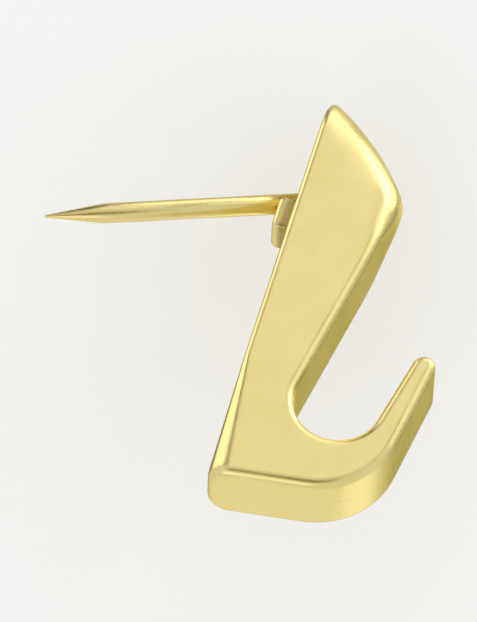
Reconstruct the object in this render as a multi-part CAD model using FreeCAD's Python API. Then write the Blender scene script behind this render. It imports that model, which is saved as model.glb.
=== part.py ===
import FreeCAD, Part
import math
import os
from FreeCAD import Vector

# Picture hook for a wall: a cast body that carries the frame and a steel pin pushed into the wall.
# Millimetres. The back lies on the wall plane Y = 0 and the hook stands out towards -Y.
# The origin is where the axis of the pin meets the back. Z points up.

# Body, measured from the bottom edge of the back: out from the wall and up along it
BODY_WIDTH = 3.9
BODY_HEIGHT = 23.4
PIN_ROOT_UP = 17.3

# Head that the thumb presses, an arch that runs over from the back to the nose
NOSE_OUT = 5.2
NOSE_DROP = 5.0
CROWN_BULGE = 0.45
ARCH_RISE = 2.6
ARCH_OVERHANG = 0.02
ARCH_SECTIONS = 8
HEAD_STOCK = 1.0

# Hook that the hanging wire lies in
THROAT_RADIUS = 2.15
THROAT_OUT = 5.08
THROAT_UP = 5.65
ARM_LEAN_DEG = 12.5
ARM_TAPER_DEG = 4.0
ARM_TIP_UP = 8.95
ARM_TIP_THICKNESS = 1.15
BEND_RADIUS = 4.2
BOTTOM_RISE_DEG = 6.5

# Soft edges of the casting
NOSE_EDGE_RADIUS = 1.0
SIDE_EDGE_RADIUS = 0.45
BACK_EDGE_RADIUS = 0.3
HEEL_EDGE_RADIUS = 1.25
HEEL_EDGE_REACH = 7.0

# Lug on the back, close under the pin, that bites into the wall and stops the hook from turning
LUG_WIDTH = 2.2
LUG_HEIGHT = 1.9
LUG_DEPTH = 0.9
LUG_DROP = 0.4
LUG_SINK = 0.5
LUG_EDGE_RADIUS = 0.3

# Pin, which slopes down into the wall
PIN_DIAMETER = 1.0
PIN_SLOPE_DEG = 20.0
PIN_REACH = 12.7
PIN_POINT_LENGTH = 3.0
PIN_POINT_DIAMETER = 0.12
PIN_HELD_LENGTH = 3.6

NOSE_UP = BODY_HEIGHT - NOSE_DROP
ON_PLANE = 1e-4


def place(out, up, across=0.0):
    """A point of the body, from its distance out of the wall and its height above the bottom edge."""
    return Vector(across, -out, up - PIN_ROOT_UP)


def step(start, direction, length):
    """The point of the side view that lies a length away from start."""
    return (start[0] + direction[0] * length, start[1] + direction[1] * length)


def leaning(angle_deg):
    """The direction that leans out of the wall by an angle from straight up."""
    angle = math.radians(angle_deg)
    return (math.sin(angle), math.cos(angle))


def crown_arc():
    """Centre and radius of the arc that runs over the head from the back to the nose."""
    half_out = NOSE_OUT / 2
    half_drop = NOSE_DROP / 2
    half_chord = math.hypot(half_out, half_drop)
    radius = (half_chord ** 2 + CROWN_BULGE ** 2) / (2 * CROWN_BULGE)
    middle = (half_out, BODY_HEIGHT - half_drop)
    inwards = (-half_drop / half_chord, -half_out / half_chord)
    return step(middle, inwards, radius - CROWN_BULGE), radius


def crown_up(out):
    """The height of the crown at a distance out of the wall."""
    centre, radius = crown_arc()
    return centre[1] + math.sqrt(radius ** 2 - (out - centre[0]) ** 2)


def shank_root():
    """Where the straight front of the shank, drawn down from the nose, runs into the throat."""
    away_out = NOSE_OUT - THROAT_OUT
    away_up = NOSE_UP - THROAT_UP
    bearing = math.atan2(away_up, away_out)
    bearing += math.acos(THROAT_RADIUS / math.hypot(away_out, away_up))
    return step((THROAT_OUT, THROAT_UP), (math.cos(bearing), math.sin(bearing)), THROAT_RADIUS)


def bend_points(outer_tip):
    """Start, middle and end of the outer bend, which touches the bottom and the outside of the arm."""
    rise = math.radians(BOTTOM_RISE_DEG)
    from_bottom = (-math.sin(rise), math.cos(rise))
    lean = math.radians(ARM_LEAN_DEG - ARM_TAPER_DEG)
    from_arm = (-math.cos(lean), math.sin(lean))
    offset = BEND_RADIUS + outer_tip[0] * from_arm[0] + outer_tip[1] * from_arm[1]
    spread = from_bottom[0] * from_arm[1] - from_bottom[1] * from_arm[0]
    centre_out = (BEND_RADIUS * from_arm[1] - offset * from_bottom[1]) / spread
    centre_up = (offset * from_bottom[0] - BEND_RADIUS * from_arm[0]) / spread
    centre = (centre_out, centre_up)
    between = (from_bottom[0] + from_arm[0], from_bottom[1] + from_arm[1])
    start = step(centre, from_bottom, -BEND_RADIUS)
    middle = step(centre, between, -BEND_RADIUS / math.hypot(*between))
    end = step(centre, from_arm, -BEND_RADIUS)
    return start, middle, end


def line(start, end):
    """A straight stretch of the side outline."""
    return Part.LineSegment(place(*start), place(*end)).toShape()


def arc(start, through, end):
    """A round stretch of the side outline."""
    return Part.Arc(place(*start), place(*through), place(*end)).toShape()


def side_outline():
    """The closed side outline of the blank: bottom, bend, arm, throat, shank, stock and back."""
    along_arm = leaning(ARM_LEAN_DEG)
    across_arm = (along_arm[1], -along_arm[0])
    throat_bottom = (THROAT_OUT, THROAT_UP - THROAT_RADIUS)
    arm_root = step((THROAT_OUT, THROAT_UP), across_arm, THROAT_RADIUS)
    inner_tip = step(arm_root, along_arm, (ARM_TIP_UP - arm_root[1]) / along_arm[1])
    outer_tip = step(inner_tip, across_arm, ARM_TIP_THICKNESS)
    tip_top = step(step(inner_tip, across_arm, ARM_TIP_THICKNESS / 2), along_arm, ARM_TIP_THICKNESS / 2)
    bend_start, bend_middle, bend_end = bend_points(outer_tip)

    front_root = shank_root()
    stock_up = BODY_HEIGHT + HEAD_STOCK
    out_per_up = (NOSE_OUT - front_root[0]) / (NOSE_UP - front_root[1])
    stock_front = (NOSE_OUT + out_per_up * (stock_up - NOSE_UP), stock_up)
    stock_back = (0.0, stock_up)
    heel = (0.0, 0.0)
    return Part.Wire([
        line(heel, bend_start),
        arc(bend_start, bend_middle, bend_end),
        line(bend_end, outer_tip),
        arc(outer_tip, tip_top, inner_tip),
        line(inner_tip, arm_root),
        arc(arm_root, throat_bottom, front_root),
        line(front_root, stock_front),
        line(stock_front, stock_back),
        line(stock_back, heel),
    ])


def blank():
    """The side outline given the width of the body, with stock above the crown."""
    face = Part.Face(side_outline())
    face.translate(Vector(-BODY_WIDTH / 2, 0, 0))
    return face.extrude(Vector(BODY_WIDTH, 0, 0))


def arch_section(out):
    """The half-oval arch of the head at a distance out of the wall, with legs down beside the shank."""
    half_width = BODY_WIDTH / 2 + ARCH_OVERHANG
    crown = crown_up(out)
    spring = crown - ARCH_RISE
    foot = THROAT_UP + THROAT_RADIUS
    left = place(out, spring, -half_width)
    right = place(out, spring, half_width)
    oval = Part.Ellipse(place(out, crown), right, place(out, spring))
    arch = Part.Arc(oval, oval.parameter(right), oval.parameter(left)).toShape()
    if arch.CenterOfMass.z < left.z:
        arch = Part.Arc(oval, oval.parameter(left), oval.parameter(right)).toShape()
    left_foot = place(out, foot, -half_width)
    right_foot = place(out, foot, half_width)
    legs = Part.makePolygon([left, left_foot, right_foot, right])
    return Part.Wire(Part.sortEdges([arch] + legs.Edges)[0])


def outside_the_arch():
    """What is cut from the blank round the head: a block less the arch form."""
    first = -HEAD_STOCK
    pitch = (NOSE_OUT + ARCH_OVERHANG - first) / (ARCH_SECTIONS - 1)
    sections = [arch_section(first + pitch * number) for number in range(ARCH_SECTIONS)]
    form = Part.makeLoft(sections, True, False)
    block_foot = (ARM_TIP_UP + NOSE_UP) / 2
    block_front = NOSE_OUT + 3 * HEAD_STOCK
    block_width = BODY_WIDTH + 2 * HEAD_STOCK
    block_depth = block_front + HEAD_STOCK / 2
    block = Part.makeBox(block_width, block_depth, BODY_HEIGHT + 2 * HEAD_STOCK - block_foot)
    block.translate(place(block_front, block_foot, -block_width / 2))
    return block.cut(form)


def round_edges(shape, radius, chosen):
    """The shape with the chosen edges rounded."""
    return shape.makeFillet(radius, [edge for edge in shape.Edges if chosen(edge)])


def is_on_back(edge):
    """Whether an edge lies in the plane of the wall."""
    box = edge.BoundBox
    return box.YLength < ON_PLANE and abs(box.YMax) < ON_PLANE


def is_nose(edge):
    """Whether an edge is the arched one between the crown and the front of the shank."""
    middle = edge.CenterOfMass
    spans = edge.BoundBox.XLength > BODY_WIDTH / 2
    return spans and abs(middle.x) < ON_PLANE and not is_on_back(edge) and middle.z > place(0, ARM_TIP_UP).z


def is_side_outline(edge):
    """Whether an edge belongs to the outline of a flat side, apart from the back and the arch."""
    box = edge.BoundBox
    in_side = box.XLength < ON_PLANE and abs(abs(box.XMin) - BODY_WIDTH / 2) < ON_PLANE
    is_plain = isinstance(edge.Curve, (Part.Line, Part.Circle))
    return in_side and is_plain and not is_on_back(edge)


def corner_section(up, radius, side):
    """The corner outside a rounding of a back edge, at a height."""
    half_width = BODY_WIDTH / 2
    clear = HEAD_STOCK
    inset = radius * (1 - math.sqrt(0.5))
    on_side = place(radius, up, side * half_width)
    on_back = place(0, up, side * (half_width - radius))
    middle = place(inset, up, side * (half_width - inset))
    rounding = Part.Arc(on_side, middle, on_back).toShape()
    corner = Part.makePolygon([
        on_back,
        place(-clear, up, side * (half_width - radius)),
        place(-clear, up, side * (half_width + clear)),
        place(radius, up, side * (half_width + clear)),
        on_side,
    ])
    return Part.Wire(Part.sortEdges([rounding] + corner.Edges)[0])


def heel_cutter(side):
    """What is cut away along a back edge near the heel, where the rounding widens downwards."""
    below = HEAD_STOCK
    widening = (HEEL_EDGE_RADIUS - BACK_EDGE_RADIUS) / HEEL_EDGE_REACH
    foot = corner_section(-below, HEEL_EDGE_RADIUS + widening * below, side)
    top = corner_section(HEEL_EDGE_REACH, BACK_EDGE_RADIUS, side)
    return Part.makeLoft([foot, top], True, True)


def round_back(shape):
    """The shape with its back edges rounded, evenly above and more and more down to the heel."""
    stock = 2 * BODY_HEIGHT
    above = Part.makeBox(stock, stock, stock)
    above.translate(place(stock / 2, HEEL_EDGE_REACH, -stock / 2))
    split_up = place(0, HEEL_EDGE_REACH).z
    upper = round_edges(shape.common(above), BACK_EDGE_RADIUS,
                        lambda edge: is_on_back(edge) and edge.BoundBox.ZMax > split_up + ON_PLANE)
    lower = shape.cut(above).cut(heel_cutter(-1)).cut(heel_cutter(1))
    return upper.fuse(lower).removeSplitter()


def casting():
    """The body without its lug: a J with an arched head and soft edges."""
    shape = blank().cut(outside_the_arch())
    shape = round_back(round_edges(shape, NOSE_EDGE_RADIUS, is_nose))
    return round_edges(shape, SIDE_EDGE_RADIUS, is_side_outline)


def lug():
    """The small block under the pin, rounded where it bites into the wall and down its corners."""
    block = Part.makeBox(LUG_WIDTH, LUG_DEPTH + LUG_SINK, LUG_HEIGHT)
    block.translate(Vector(-LUG_WIDTH / 2, -LUG_SINK, -LUG_DROP - LUG_HEIGHT))
    return round_edges(block, LUG_EDGE_RADIUS, lambda edge: edge.BoundBox.YMax > LUG_DEPTH - ON_PLANE)


def pin_axis():
    """The direction in which the pin leaves the back."""
    slope = math.radians(PIN_SLOPE_DEG)
    return Vector(0, math.cos(slope), -math.sin(slope))


def hook_body():
    """The casting with its lug and the blind bore that holds the pin."""
    axis = pin_axis()
    bore_length = PIN_HELD_LENGTH + PIN_REACH
    bore = Part.makeCylinder(PIN_DIAMETER / 2, bore_length, axis * -PIN_HELD_LENGTH, axis)
    return casting().fuse(lug()).removeSplitter().cut(bore)


def push_pin():
    """The round pin, turned about its own axis: a straight shaft with its held end and a long point."""
    shaft = PIN_DIAMETER / 2
    tip = PIN_POINT_DIAMETER / 2
    outline = Part.makePolygon([
        Vector(0, 0, -PIN_HELD_LENGTH),
        Vector(shaft, 0, -PIN_HELD_LENGTH),
        Vector(shaft, 0, PIN_REACH - PIN_POINT_LENGTH),
        Vector(tip, 0, PIN_REACH),
        Vector(0, 0, PIN_REACH),
        Vector(0, 0, -PIN_HELD_LENGTH),
    ])
    pin = Part.Face(outline).revolve(Vector(0, 0, 0), Vector(0, 0, 1), 360)
    pin.rotate(Vector(0, 0, 0), Vector(1, 0, 0), -90 - PIN_SLOPE_DEG)
    return pin


def main():
    os.makedirs("parts", exist_ok=True)
    parts = {"hook_body": hook_body(), "push_pin": push_pin()}
    for name, shape in parts.items():
        shape.exportStep(f"parts/{name}.step")
        solids = len(shape.Solids)
        print(f"{name}: valid {shape.isValid()}, solids {solids}, volume {shape.Volume:.3f} mm3")


main()
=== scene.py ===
import math

import bmesh
import bpy
from mathutils import Matrix, Vector
from mathutils.geometry import intersect_point_line


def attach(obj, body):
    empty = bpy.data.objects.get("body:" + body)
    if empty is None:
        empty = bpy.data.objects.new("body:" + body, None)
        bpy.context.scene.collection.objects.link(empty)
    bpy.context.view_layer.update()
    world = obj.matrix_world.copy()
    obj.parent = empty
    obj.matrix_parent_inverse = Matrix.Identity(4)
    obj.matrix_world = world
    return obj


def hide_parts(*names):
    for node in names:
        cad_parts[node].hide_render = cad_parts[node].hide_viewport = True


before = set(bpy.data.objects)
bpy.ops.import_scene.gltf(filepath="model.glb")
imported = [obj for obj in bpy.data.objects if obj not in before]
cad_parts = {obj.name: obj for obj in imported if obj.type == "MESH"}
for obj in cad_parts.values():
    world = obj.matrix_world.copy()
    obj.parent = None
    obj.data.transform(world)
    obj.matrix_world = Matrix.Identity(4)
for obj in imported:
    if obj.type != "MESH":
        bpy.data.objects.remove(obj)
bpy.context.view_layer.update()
bpy.context.scene.view_settings.view_transform = "Standard"

# Picture hook: a plated casting and its steel pin, in metres, in the frame of the part.
MM = 0.001

# The picture, in pixels
PICTURE_WIDTH = 477
PICTURE_HEIGHT = 622

# Where the camera stands: degrees round the hook, degrees above it, and how far it is rolled.
# The hook fills a share of the picture's height.
VIEW_AZIMUTH = -81.5
VIEW_ELEVATION = -31.3
VIEW_ROLL = 18.4
CAMERA_DISTANCE = 400 * MM
SENSOR = 36.0
HOOK_SHARE = 0.82

# Vertices closer than this are one vertex
WELD = 0.0001 * MM

# Mesh of the casting, which is enlarged while it is remeshed because the remesher has a least step
REMESH_SCALE = 100.0
REMESH_STEP = 0.08 * MM
SMOOTH_PASSES = 8

# Softened edges of the crown: each runs from the nose's corner up to a point well before the back
NOSE_CORNER = (1.85 * MM, -4.75 * MM, 0.4 * MM)
CROWN_CORNER = (1.85 * MM, -2.3 * MM, 3.6 * MM)
CROWN_RIM = 2.5 * MM
CROWN_CORE = 0.8 * MM
CROWN_PASSES = 170

# The lowest share of each edge is softened once more, as the nose
NOSE_SHARE = 0.15
NOSE_RIM = 4.2 * MM
NOSE_CORE = 0.8 * MM
NOSE_PASSES = 200

# Mould seam, which runs where the surface faces neither sideways nor backwards
SEAM_HEIGHT = 0.010 * MM
SEAM_HALF_WIDTH = 0.07 * MM
SEAM_MOST_SIDEWAYS = 0.5
SEAM_MOST_BACKWARDS = 0.9

# Pin: it slopes down from the origin into the wall
PIN_SLOPE_DEG = 20.0
PIN_RADIUS = 0.5 * MM
PIN_HELD_LENGTH = 3.6 * MM
PIN_REACH = 12.7 * MM
PIN_POINT_LENGTH = 3.0 * MM
PIN_TIP_RADIUS = 0.06 * MM
PIN_SHOULDER = 0.35 * MM
PIN_SHOULDER_MIDDLE = 0.985 * PIN_RADIUS
PIN_SHOULDER_END = 0.90 * PIN_RADIUS
PIN_SIDES = 72

# The sheet behind the hook
SHEET_GAP = 2.5 * MM
SHEET_HALF = 600 * MM
PAPER_WHITE = (0.93, 0.93, 0.92)
PAPER_GLOW = 2.0
PAPER_GLOW_SHARE = 0.1

# Lamps, and the tint of the one that the front of the shank reflects
LAMP_DISTANCE = 500 * MM
SHANK_TINT = (1.0, 1.0, 0.45)

# Flag: a dark card that the hook's lower edges reflect
FLAG_TOWARDS = (-0.84, -0.02, -0.54)
FLAG_DISTANCE = 300 * MM
FLAG_HALF_WIDTH = 110 * MM
FLAG_HALF_HEIGHT = 84 * MM
FLAG_BROWN = (0.34, 0.24, 0.13)

# The studio is white up to the horizon and dims from there to its ceiling, which starts at this
# height. Straight overhead is a height of 1.
CEILING_STARTS = 0.45
CEILING_LIGHT = 0.12

# Patterns are laid out in millimetres
PER_MM = 1000.0

# Tint of the plating of both pieces at a grazing angle
GRAZING_TINT = (1.0, 0.93, 0.62)

# Plating of the casting, and the painted shade laid into its hollows
CAST_DEEP = (0.845, 0.70, 0.28)
CAST_PALE = (0.88, 0.745, 0.33)
CAST_SPECKS = (0.78, 0.64, 0.27)
# Painted shade for the hollows
CAST_HOLLOW_SHADE = (0.62, 0.48, 0.18)
WAVE_DEPTH = 0.006 * MM

# Painted shade at the root of the lug: millimetres behind the back where it starts and where it ends
LUG_ROOT_SHADE = (0.30, 0.20, 0.05)
LUG_ROOT_SHADE_SHARE = 0.8
LUG_ROOT_SHADE_STARTS = (0.01, 0.04)
LUG_ROOT_SHADE_ENDS = (0.35, 0.75)

# Plating of the pin
DRAWN_DEEP = (0.80, 0.65, 0.24)
DRAWN_PALE = (0.86, 0.73, 0.33)
DRAWN_LINES = (0.70, 0.54, 0.19)

# Depth of the fine grain and of the fine lines
GRAIN_DEPTH = 0.0002 * MM


# Camera

def camera_turn():
    """How the camera is turned: the columns of the matrix are its right, its up and its back."""
    azimuth = math.radians(VIEW_AZIMUTH)
    elevation = math.radians(VIEW_ELEVATION)
    level = math.cos(elevation)
    back = Vector((math.sin(azimuth) * level, -math.cos(azimuth) * level, math.sin(elevation)))
    upright = (-back).to_track_quat("-Z", "Y").to_matrix()
    return upright @ Matrix.Rotation(math.radians(VIEW_ROLL), 3, "Z")


def reach(direction):
    """The least and the greatest reach of the hook along a direction."""
    reaches = []
    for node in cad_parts.values():
        reaches += [vertex.co.dot(direction) for vertex in node.data.vertices]
    return min(reaches), max(reaches)


def make_camera():
    """A long lens that frames the whole hook."""
    turn = camera_turn()
    spans = [reach(turn.col[axis]) for axis in range(3)]
    aim = turn @ Vector([(low + high) / 2 for low, high in spans])
    width, height = (spans[axis][1] - spans[axis][0] for axis in range(2))
    shown = max(height, width * PICTURE_HEIGHT / PICTURE_WIDTH) / HOOK_SHARE
    data = bpy.data.cameras.new("camera")
    data.sensor_width = SENSOR
    data.lens = SENSOR * CAMERA_DISTANCE / shown
    data.clip_start = CAMERA_DISTANCE / 10
    data.clip_end = CAMERA_DISTANCE * 20
    camera = bpy.data.objects.new("camera", data)
    camera.matrix_world = Matrix.Translation(aim + turn.col[2] * CAMERA_DISTANCE) @ turn.to_4x4()
    bpy.context.scene.collection.objects.link(camera)
    bpy.context.scene.camera = camera


# Light and surroundings

def soft_box(name, towards, width, height, radiance, tint=(1.0, 1.0, 1.0)):
    """A soft box that shines on the hook. A radiance of 1 is white."""
    data = bpy.data.lights.new(name, "AREA")
    data.color = tint
    data.shape = "RECTANGLE"
    data.size = width
    data.size_y = height
    data.energy = radiance * math.pi * width * height
    box = bpy.data.objects.new(name, data)
    direction = Vector(towards).normalized()
    turn = direction.to_track_quat("Z", "Y").to_matrix().to_4x4()
    box.matrix_world = Matrix.Translation(direction * LAMP_DISTANCE) @ turn
    box.visible_camera = False
    bpy.context.scene.collection.objects.link(box)


def make_lamps():
    """The soft boxes, each placed where some face or edge of the plating reflects it."""
    soft_box("side_box", (-0.85, 0.10, 0.52), 0.36, 0.36, 0.86)
    soft_box("top_box", (-0.36, -0.14, 0.92), 0.44, 0.30, 1.35)
    soft_box("nose_box", (-0.08, -0.58, 0.80), 0.46, 0.30, 1.75)
    soft_box("ceiling_box", (0.44, -0.02, 0.90), 0.60, 0.66, 0.52)
    soft_box("front_box", (-0.50, -0.70, 0.51), 0.52, 0.30, 0.95)
    soft_box("turn_box", (0.30, -0.80, 0.50), 0.34, 0.30, 0.50)
    soft_box("shank_box", (0.85, -0.31, 0.42), 0.30, 0.26, 0.36, SHANK_TINT)
    soft_box("back_box", (-0.12, 0.86, 0.50), 0.60, 0.30, 1.35)
    soft_box("bend_box", (0.85, -0.50, -0.12), 0.26, 0.24, 0.40)
    soft_box("low_box", (0.85, 0.02, -0.53), 0.40, 0.34, 0.12)
    soft_box("foot_box", (-0.20, 0.12, -0.97), 0.28, 0.28, 0.55)


def make_flag():
    """A dark card below the lamps, seen only in the metal, where it draws a line along the lower edges."""
    towards = Vector(FLAG_TOWARDS).normalized()
    shape = bmesh.new()
    bmesh.ops.create_grid(shape, x_segments=1, y_segments=1, size=1.0)
    bmesh.ops.scale(shape, vec=(FLAG_HALF_WIDTH, FLAG_HALF_HEIGHT, 1.0), verts=shape.verts)
    turn = towards.to_track_quat("Z", "Y").to_matrix().to_4x4()
    bmesh.ops.transform(shape, matrix=Matrix.Translation(towards * FLAG_DISTANCE) @ turn, verts=shape.verts)
    flag = piece_from(shape, "dark_card")
    material = bpy.data.materials.new("dark_card")
    material.use_nodes = True
    material.node_tree.nodes["Principled BSDF"].inputs["Base Color"].default_value = (*FLAG_BROWN, 1.0)
    flag.data.materials.append(material)
    flag.visible_camera = False
    flag.visible_diffuse = False
    flag.visible_shadow = False


def make_world():
    """A pale studio: white floor and walls, and a dimmer ceiling."""
    world = bpy.data.worlds.new("studio")
    bpy.context.scene.world = world
    world.use_nodes = True
    nodes = world.node_tree.nodes
    links = world.node_tree.links
    nodes.clear()
    place = nodes.new("ShaderNodeTexCoord")
    split = nodes.new("ShaderNodeSeparateXYZ")
    height = nodes.new("ShaderNodeMapRange")
    height.interpolation_type = "SMOOTHSTEP"
    height.inputs["From Min"].default_value = 0.0
    height.inputs["From Max"].default_value = CEILING_STARTS
    height.inputs["To Min"].default_value = 1.0
    height.inputs["To Max"].default_value = CEILING_LIGHT
    light = nodes.new("ShaderNodeBackground")
    output = nodes.new("ShaderNodeOutputWorld")
    links.new(place.outputs["Generated"], split.inputs[0])
    links.new(split.outputs["Z"], height.inputs["Value"])
    links.new(height.outputs["Result"], light.inputs["Strength"])
    links.new(light.outputs[0], output.inputs["Surface"])


def paper():
    """Pale paper that shows from its front only."""
    material = bpy.data.materials.new("pale_paper")
    material.use_nodes = True
    nodes = material.node_tree.nodes
    links = material.node_tree.links
    nodes.clear()
    sheet = nodes.new("ShaderNodeBsdfDiffuse")
    sheet.inputs["Color"].default_value = (*PAPER_WHITE, 1.0)
    glow = nodes.new("ShaderNodeEmission")
    glow.inputs["Strength"].default_value = PAPER_GLOW
    pale = nodes.new("ShaderNodeMixShader")
    pale.inputs[0].default_value = PAPER_GLOW_SHARE
    clear = nodes.new("ShaderNodeBsdfTransparent")
    side = nodes.new("ShaderNodeNewGeometry")
    shown = nodes.new("ShaderNodeMixShader")
    output = nodes.new("ShaderNodeOutputMaterial")
    links.new(sheet.outputs[0], pale.inputs[1])
    links.new(glow.outputs[0], pale.inputs[2])
    links.new(side.outputs["Backfacing"], shown.inputs[0])
    links.new(pale.outputs[0], shown.inputs[1])
    links.new(clear.outputs[0], shown.inputs[2])
    links.new(shown.outputs[0], output.inputs["Surface"])
    return material


def make_backdrop():
    """A big sheet close behind the hook, square to the camera, that keeps the shadow of the hook."""
    turn = camera_turn()
    spans = [reach(turn.col[axis]) for axis in range(3)]
    centre = turn @ Vector([sum(spans[0]) / 2, sum(spans[1]) / 2, spans[2][0] - SHEET_GAP])
    shape = bmesh.new()
    bmesh.ops.create_grid(shape, x_segments=1, y_segments=1, size=SHEET_HALF)
    bmesh.ops.transform(shape, matrix=Matrix.Translation(centre) @ turn.to_4x4(), verts=shape.verts)
    backdrop = piece_from(shape, "backdrop")
    backdrop.data.materials.append(paper())
    backdrop.visible_glossy = False
    backdrop.visible_diffuse = False
    backdrop.visible_shadow = False


# Finishes

class Finish:
    """A metal finish, built up from nodes that read the place on the piece in millimetres."""

    def __init__(self, name):
        self.material = bpy.data.materials.new(name)
        self.material.use_nodes = True
        self.nodes = self.material.node_tree.nodes
        self.links = self.material.node_tree.links
        self.shader = self.nodes["Principled BSDF"]
        self.shader.inputs["Metallic"].default_value = 1.0
        self.shader.inputs["Specular Tint"].default_value = (*GRAZING_TINT, 1.0)
        self.place = self.nodes.new("ShaderNodeTexCoord").outputs["Object"]
        self.bump = None

    def spread(self, scale, turn=(0.0, 0.0, 0.0)):
        """Place on the piece, turned and then stretched by a scale for each axis."""
        mapping = self.nodes.new("ShaderNodeMapping")
        mapping.inputs["Rotation"].default_value = turn
        mapping.inputs["Scale"].default_value = [PER_MM * factor for factor in scale]
        self.links.new(self.place, mapping.inputs["Vector"])
        return mapping.outputs["Vector"]

    def clouds(self, place, per_mm, detail=3.0, roughness=0.5):
        """Soft noise between 0 and 1."""
        noise = self.nodes.new("ShaderNodeTexNoise")
        noise.inputs["Scale"].default_value = per_mm
        noise.inputs["Detail"].default_value = detail
        noise.inputs["Roughness"].default_value = roughness
        self.links.new(place, noise.inputs["Vector"])
        return noise.outputs["Fac"]

    def remap(self, value, low, high, to_low, to_high):
        """The value's stretch from low to high brought to another stretch, and held at its ends."""
        node = self.nodes.new("ShaderNodeMapRange")
        node.interpolation_type = "SMOOTHSTEP"
        self.links.new(value, node.inputs["Value"])
        for name, level in (("From Min", low), ("From Max", high), ("To Min", to_low), ("To Max", to_high)):
            node.inputs[name].default_value = level
        return node.outputs["Result"]

    def blend(self, share, base, over):
        """Colour base, going over to colour over by the share."""
        mix = self.nodes.new("ShaderNodeMix")
        mix.data_type = "RGBA"
        self.links.new(share, mix.inputs["Factor"])
        for socket, color in ((mix.inputs["A"], base), (mix.inputs["B"], over)):
            if isinstance(color, tuple):
                socket.default_value = (*color, 1.0)
            else:
                self.links.new(color, socket)
        return mix.outputs["Result"]

    def add(self, first, second, factor=1.0):
        """The sum of a value and a factor times another."""
        node = self.nodes.new("ShaderNodeMath")
        node.operation = "MULTIPLY_ADD"
        self.links.new(second, node.inputs[0])
        node.inputs[1].default_value = factor
        self.links.new(first, node.inputs[2])
        return node.outputs[0]

    def relief(self, height, depth):
        """Adds a bump of a depth in metres."""
        bump = self.nodes.new("ShaderNodeBump")
        bump.inputs["Distance"].default_value = depth
        self.links.new(height, bump.inputs["Height"])
        if self.bump is not None:
            self.links.new(self.bump, bump.inputs["Normal"])
        self.bump = bump.outputs["Normal"]
        self.links.new(self.bump, self.shader.inputs["Normal"])

    def finish(self, color, roughness):
        """Gives the shader its colour and roughness, and hands over the material."""
        self.links.new(color, self.shader.inputs["Base Color"])
        self.links.new(roughness, self.shader.inputs["Roughness"])
        return self.material


def plated_casting():
    """Satin plating on a casting: soft waves, a fine grain, painted shade in the hollows and painted shade
    at the root of the lug.
    """
    finish = Finish("plated_casting")
    place = finish.spread((1.0, 1.0, 1.0))
    patches = finish.clouds(place, 0.35, 4.0, 0.6)
    waves = finish.clouds(place, 0.9, 2.0, 0.4)
    grain = finish.clouds(place, 14.0, 4.0, 0.65)
    wiped = finish.clouds(finish.spread((1.0, 1.0, 0.12)), 9.0, 3.0, 0.6)
    body = finish.blend(finish.remap(patches, 0.3, 0.7, 0.0, 1.0), CAST_DEEP, CAST_PALE)
    speckled = finish.blend(finish.remap(grain, 0.45, 0.75, 0.0, 0.07), body, CAST_SPECKS)
    edge = finish.nodes.new("ShaderNodeNewGeometry").outputs["Pointiness"]
    # Painted shade: the hollows, where the surface curves inwards, are darkened
    hollow_shade = finish.blend(finish.remap(edge, 0.43, 0.485, 0.5, 0.0), speckled, CAST_HOLLOW_SHADE)
    behind = finish.nodes.new("ShaderNodeSeparateXYZ")
    finish.links.new(place, behind.inputs[0])
    # Painted shade: a band just behind the back, where the root of the lug stands, is darkened
    lug_shade = finish.remap(behind.outputs["Y"], *LUG_ROOT_SHADE_STARTS, 0.0, LUG_ROOT_SHADE_SHARE)
    lug_shade = finish.add(lug_shade, finish.remap(behind.outputs["Y"], *LUG_ROOT_SHADE_ENDS, 0.0, -LUG_ROOT_SHADE_SHARE))
    color = finish.blend(lug_shade, hollow_shade, LUG_ROOT_SHADE)
    rough = finish.remap(patches, 0.25, 0.75, 0.25, 0.36)
    rough = finish.add(rough, finish.remap(grain, 0.3, 0.8, -0.5, 0.5), 0.03)
    rough = finish.add(rough, finish.remap(wiped, 0.3, 0.7, -0.5, 0.5), 0.03)
    finish.relief(waves, WAVE_DEPTH)
    finish.relief(grain, GRAIN_DEPTH)
    return finish.finish(color, rough)


def plated_pin():
    """Bright plating on drawn steel, with fine lines along the pin."""
    finish = Finish("plated_pin")
    slope = math.radians(PIN_SLOPE_DEG)
    along = finish.spread((1.0, 0.05, 1.0), (slope, 0.0, 0.0))
    lines = finish.clouds(along, 12.0, 2.0, 0.5)
    patches = finish.clouds(finish.spread((1.0, 1.0, 1.0)), 0.5, 3.0, 0.5)
    body = finish.blend(finish.remap(patches, 0.3, 0.7, 0.0, 1.0), DRAWN_DEEP, DRAWN_PALE)
    color = finish.blend(finish.remap(lines, 0.5, 0.8, 0.0, 0.25), body, DRAWN_LINES)
    rough = finish.remap(patches, 0.3, 0.7, 0.22, 0.30)
    rough = finish.add(rough, finish.remap(lines, 0.3, 0.7, -0.5, 0.5), 0.05)
    finish.relief(lines, GRAIN_DEPTH)
    return finish.finish(color, rough)


# Pieces

def piece_from(shape, name):
    """The shape as an object of the scene."""
    mesh = bpy.data.meshes.new(name)
    shape.to_mesh(mesh)
    shape.free()
    piece = bpy.data.objects.new(name, mesh)
    bpy.context.scene.collection.objects.link(piece)
    return piece


def off_line(point, start, end):
    """How far a point is from a stretch of line between two ends."""
    nearest, share = intersect_point_line(point, start, end)
    if share < 0.0:
        nearest = start
    elif share > 1.0:
        nearest = end
    return (point - nearest).length


def soften(shape, lines, core, rim, passes):
    """Softens the shape round some lines: in full out to the core, then less and less out to the rim."""
    near = []
    shares = []
    kept = []
    for vertex in shape.verts:
        away = min(off_line(vertex.co, start, end) for start, end in lines)
        if away < rim:
            near.append(vertex)
            kept.append(vertex.co.copy())
            shares.append(min(1.0, (rim - away) / (rim - core)))
    for _ in range(passes):
        bmesh.ops.smooth_vert(
            shape, verts=near, factor=0.5, use_axis_x=True, use_axis_y=True, use_axis_z=True)
    for vertex, before, share in zip(near, kept, shares):
        ease = share * share * (3 - 2 * share)
        vertex.co = before.lerp(vertex.co, ease)


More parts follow.
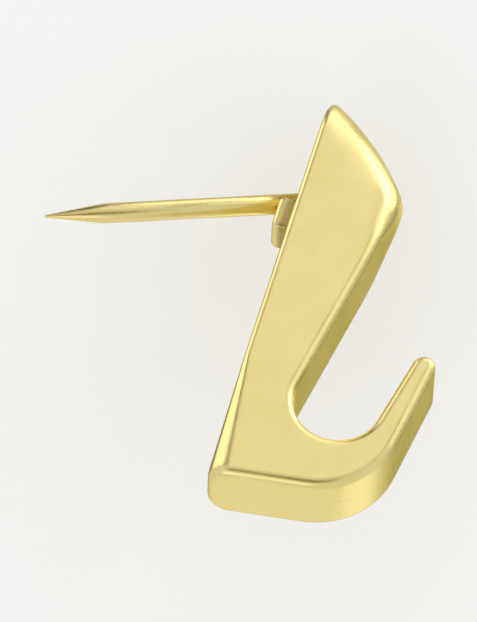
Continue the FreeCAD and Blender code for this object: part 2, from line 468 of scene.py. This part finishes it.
def soften_head(shape):
    """Softens the two edges of the crown, and once more the two corners where they end at the nose."""
    edges = []
    corners = []
    for side in (-1, 1):
        low, high = (Vector((side * x, y, z)) for x, y, z in (NOSE_CORNER, CROWN_CORNER))
        edges.append((low, high))
        corners.append((low, low.lerp(high, NOSE_SHARE)))
    soften(shape, edges, CROWN_CORE, CROWN_RIM, CROWN_PASSES)
    soften(shape, corners, NOSE_CORE, NOSE_RIM, NOSE_PASSES)


def raise_seam(shape):
    """The faint line along the middle of the width, where the two halves of the mould met."""
    shape.normal_update()
    for vertex in shape.verts:
        if abs(vertex.normal.x) < SEAM_MOST_SIDEWAYS and vertex.normal.y < SEAM_MOST_BACKWARDS:
            fade = math.exp(-(vertex.co.x / SEAM_HALF_WIDTH) ** 2)
            vertex.co += vertex.normal * SEAM_HEIGHT * fade


def cast_body():
    """The casting, drawn afresh as an even mesh so that its edges and hollows shade softly."""
    shape = bmesh.new()
    shape.from_mesh(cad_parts["hook_body"].data)
    bmesh.ops.remove_doubles(shape, verts=shape.verts, dist=WELD)
    bmesh.ops.scale(shape, vec=[REMESH_SCALE] * 3, verts=shape.verts)
    rough_copy = piece_from(shape, "rough_copy")
    remesh = rough_copy.modifiers.new("remesh", "REMESH")
    remesh.mode = "VOXEL"
    remesh.voxel_size = REMESH_STEP * REMESH_SCALE
    smooth = rough_copy.modifiers.new("smooth", "SMOOTH")
    smooth.factor = 0.5
    smooth.iterations = SMOOTH_PASSES
    graph = bpy.context.evaluated_depsgraph_get()
    even = bpy.data.meshes.new_from_object(rough_copy.evaluated_get(graph))
    bpy.data.objects.remove(rough_copy)
    shape = bmesh.new()
    shape.from_mesh(even)
    bmesh.ops.scale(shape, vec=[1 / REMESH_SCALE] * 3, verts=shape.verts)
    soften_head(shape)
    raise_seam(shape)
    for face in shape.faces:
        face.smooth = True
    body = piece_from(shape, "cast_hook")
    body.data.materials.clear()
    body.data.materials.append(plated_casting())
    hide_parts("hook_body")
    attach(body, "root")


def drawn_pin():
    """The pin, spun about its axis, with a soft shoulder before its long point."""
    profile = [
        (0.0, -PIN_HELD_LENGTH),
        (PIN_RADIUS, -PIN_HELD_LENGTH),
        (PIN_RADIUS, PIN_REACH - PIN_POINT_LENGTH - PIN_SHOULDER),
        (PIN_SHOULDER_MIDDLE, PIN_REACH - PIN_POINT_LENGTH),
        (PIN_SHOULDER_END, PIN_REACH - PIN_POINT_LENGTH + PIN_SHOULDER),
        (PIN_TIP_RADIUS, PIN_REACH - PIN_TIP_RADIUS),
        (PIN_TIP_RADIUS * 0.7, PIN_REACH - PIN_TIP_RADIUS * 0.3),
        (0.0, PIN_REACH),
    ]
    shape = bmesh.new()
    corners = [shape.verts.new((radius, 0.0, along)) for radius, along in profile]
    edges = [shape.edges.new(pair) for pair in zip(corners, corners[1:])]
    bmesh.ops.spin(shape, geom=corners + edges, cent=(0, 0, 0), axis=(0, 0, 1), angle=math.tau,
                   steps=PIN_SIDES, use_merge=True)
    bmesh.ops.remove_doubles(shape, verts=shape.verts, dist=WELD)
    bmesh.ops.recalc_face_normals(shape, faces=shape.faces)
    tilt = Matrix.Rotation(math.radians(-90 - PIN_SLOPE_DEG), 4, "X")
    bmesh.ops.transform(shape, matrix=tilt, verts=shape.verts)
    for face in shape.faces:
        face.smooth = True
    pin = piece_from(shape, "drawn_pin")
    pin.data.materials.append(plated_pin())
    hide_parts("push_pin")
    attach(pin, "root")


make_camera()
make_lamps()
make_flag()
make_world()
make_backdrop()
cast_body()
drawn_pin()
